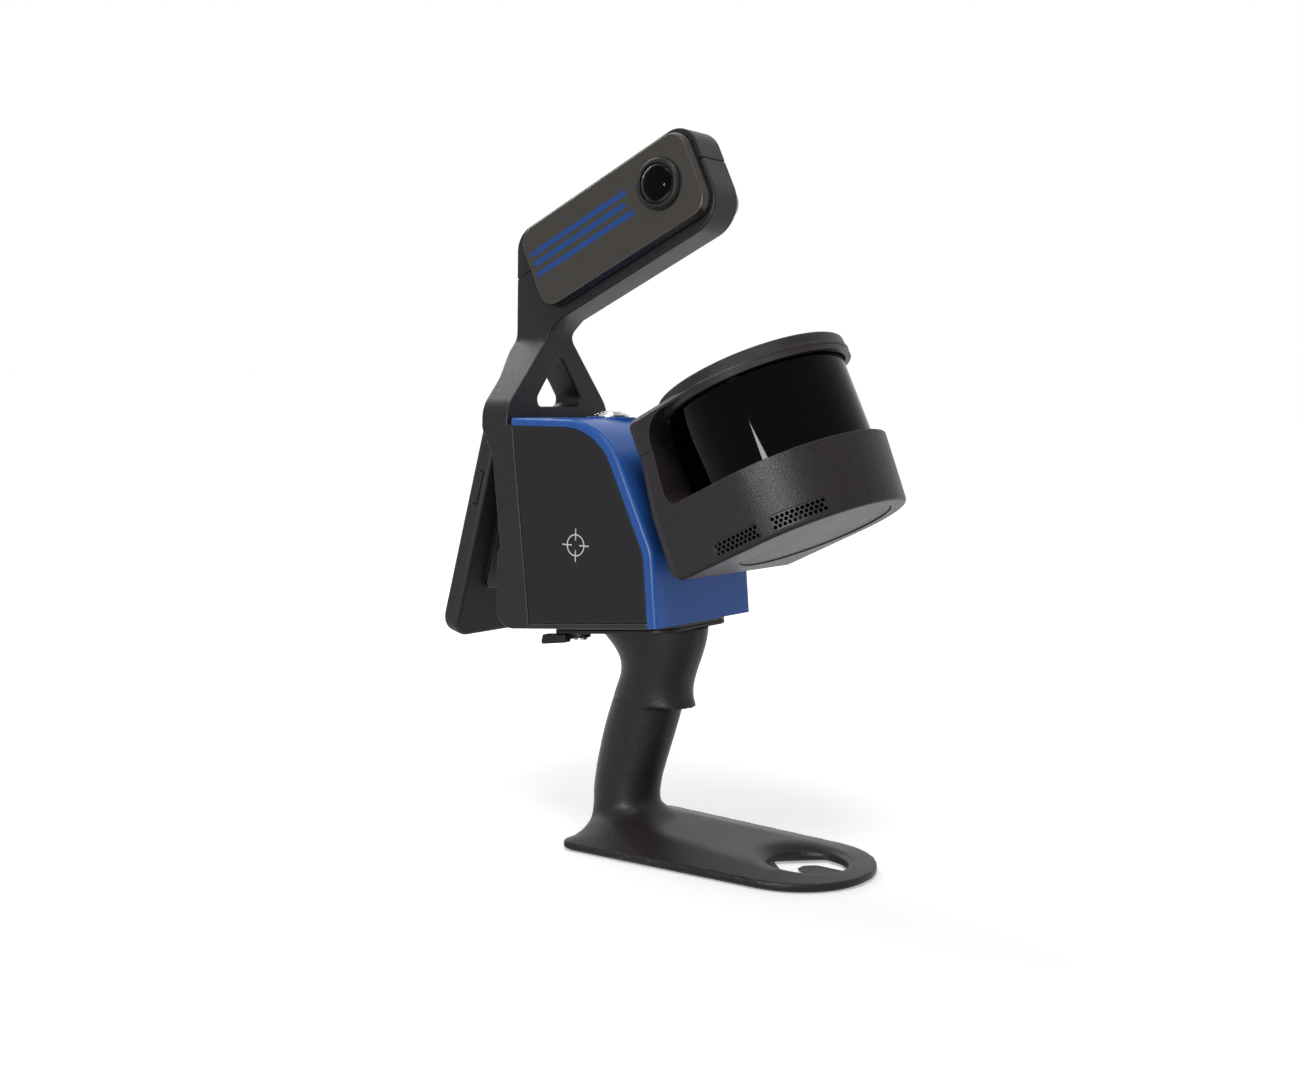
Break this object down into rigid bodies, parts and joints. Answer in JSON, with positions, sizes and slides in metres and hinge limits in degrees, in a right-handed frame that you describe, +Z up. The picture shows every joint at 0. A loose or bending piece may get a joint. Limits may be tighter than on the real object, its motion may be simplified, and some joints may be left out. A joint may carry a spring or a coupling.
{
  "type": "handheld laser scanner",
  "caption": "Hand-held mobile laser scanner: tilted spinning lidar head on a wedge body, pistol grip on a foot plate with a survey hole, fork yoke with a 360 camera, phone behind.",
  "frame": {"origin": "on the floor, on the axis of the survey-mark hole in the foot plate", "axes": "+X forward, the way the lidar head points; +Z up; the object is symmetrical about the XZ plane apart from small fittings"},
  "size_m": [0.2532, 0.1016, 0.3617],
  "materials": {
    "textured_plastic": "fine sparkle texture",
    "panel_plastic": "smooth satin",
    "blue_plastic": "satin",
    "black_rubber": "matt",
    "case_rubber": "fine matt",
    "dark_aluminium": "anodised",
    "bare_aluminium": "machined",
    "steel": "turned",
    "bright_metal": "turned, polished",
    "black_plastic": "moulded",
    "camera_paint": "satin",
    "dark_glass": "gloss",
    "lens_glass": "gloss",
    "screen_glass": "gloss",
    "copper": "wound wire",
    "board": "solder mask"
  },
  "bodies": {
    "base": {"sole_pad": "black_rubber", "grip_moulding": "textured_plastic", "grip_core": "bare_aluminium", "clamp_plate": "black_plastic", "clamp_screws": "steel", "mount_plate": "dark_aluminium", "mount_screws": "steel", "lever_pin": "steel", "chassis": "dark_aluminium", "blue_shell": "blue_plastic", "side_panel_right": "panel_plastic", "side_panel_left": "panel_plastic", "battery_pack": "black_plastic", "main_board": "board", "motion_sensor": "dark_aluminium", "data_socket": "steel", "yoke": "textured_plastic", "yoke_screws": "steel", "cradle_strap": "textured_plastic", "strap_screws": "steel", "cradle_liner": "black_rubber", "camera_body": "black_plastic", "camera_near_face": "camera_paint", "camera_far_face": "camera_paint", "camera_screen": "screen_glass", "lens_rings": "black_plastic", "lens_domes": "lens_glass", "button_bezel": "bright_metal", "button_switch": "black_plastic", "hub_collar": "dark_aluminium", "head_bearings": "steel", "motor_housing": "bare_aluminium", "motor_winding": "copper", "hinge_ears": "dark_aluminium", "hinge_pin": "steel"},
    "lever": {"release_lever": "black_plastic"},
    "head": {"head_hub": "dark_aluminium", "hub_screws": "steel", "shroud_lower": "textured_plastic", "shroud_upper": "textured_plastic", "vent_grilles": "black_plastic", "base_cap": "textured_plastic", "lidar_base": "dark_aluminium", "lidar_window": "dark_glass", "lidar_lid": "textured_plastic", "rotor_motor": "bare_aluminium", "fan_frame": "black_plastic", "motor_magnets": "steel"},
    "scanner": {"scan_drum": "dark_aluminium", "scan_lenses": "lens_glass"},
    "fan": {"fan_rotor": "black_plastic"},
    "phone": {"phone_holder": "dark_aluminium", "phone_case": "case_rubber", "phone_body": "dark_aluminium", "phone_glass": "screen_glass"},
    "phone_power": {"phone_power_button": "case_rubber"},
    "phone_volume": {"phone_volume_button": "case_rubber"},
    "power": {"power_button": "bright_metal"},
    "shutter": {"shutter_button": "black_plastic"},
    "mode": {"mode_button": "black_plastic"}
  },
  "joints": [
    {"name": "head_spin", "type": "hinge", "parent": "base", "child": "head", "pos_m": [-0.07129, 0, 0.18023], "axis": [0.9011, 0, 0.4337], "continuous": true},
    {"name": "scan_spin", "type": "hinge", "parent": "head", "child": "scanner", "pos_m": [-0.0291, 0, 0.2194], "axis": [-0.4337, 0, 0.9011], "continuous": true},
    {"name": "fan_spin", "type": "hinge", "parent": "head", "child": "fan", "pos_m": [-0.00568, 0, 0.17074], "axis": [-0.4337, 0, 0.9011], "continuous": true},
    {"name": "lever_turn", "type": "hinge", "parent": "base", "child": "lever", "pos_m": [-0.13098, -0.0155, 0.10629], "axis": [0.0976, 0, -0.9952], "range_deg": [0, 55]},
    {"name": "phone_tilt", "type": "hinge", "parent": "base", "child": "phone", "pos_m": [-0.1694, 0, 0.206], "axis": [0, 1, 0], "range_deg": [-12, 5]},
    {"name": "phone_power_press", "type": "slide", "parent": "phone", "child": "phone_power", "axis": [0, 1, 0], "range_m": [0, 0.0004], "stiffness_N_per_m": 500},
    {"name": "phone_volume_press", "type": "slide", "parent": "phone", "child": "phone_volume", "axis": [0, -1, 0], "range_m": [0, 0.0004], "stiffness_N_per_m": 500},
    {"name": "power_press", "type": "slide", "parent": "base", "child": "power", "axis": [0, 0, -1], "range_m": [0, 0.0012], "stiffness_N_per_m": 600},
    {"name": "shutter_press", "type": "slide", "parent": "base", "child": "shutter", "axis": [0, -1, 0], "range_m": [0, 0.0006], "stiffness_N_per_m": 500},
    {"name": "mode_press", "type": "slide", "parent": "base", "child": "mode", "axis": [0, -1, 0], "range_m": [0, 0.0006], "stiffness_N_per_m": 500}
  ]
}
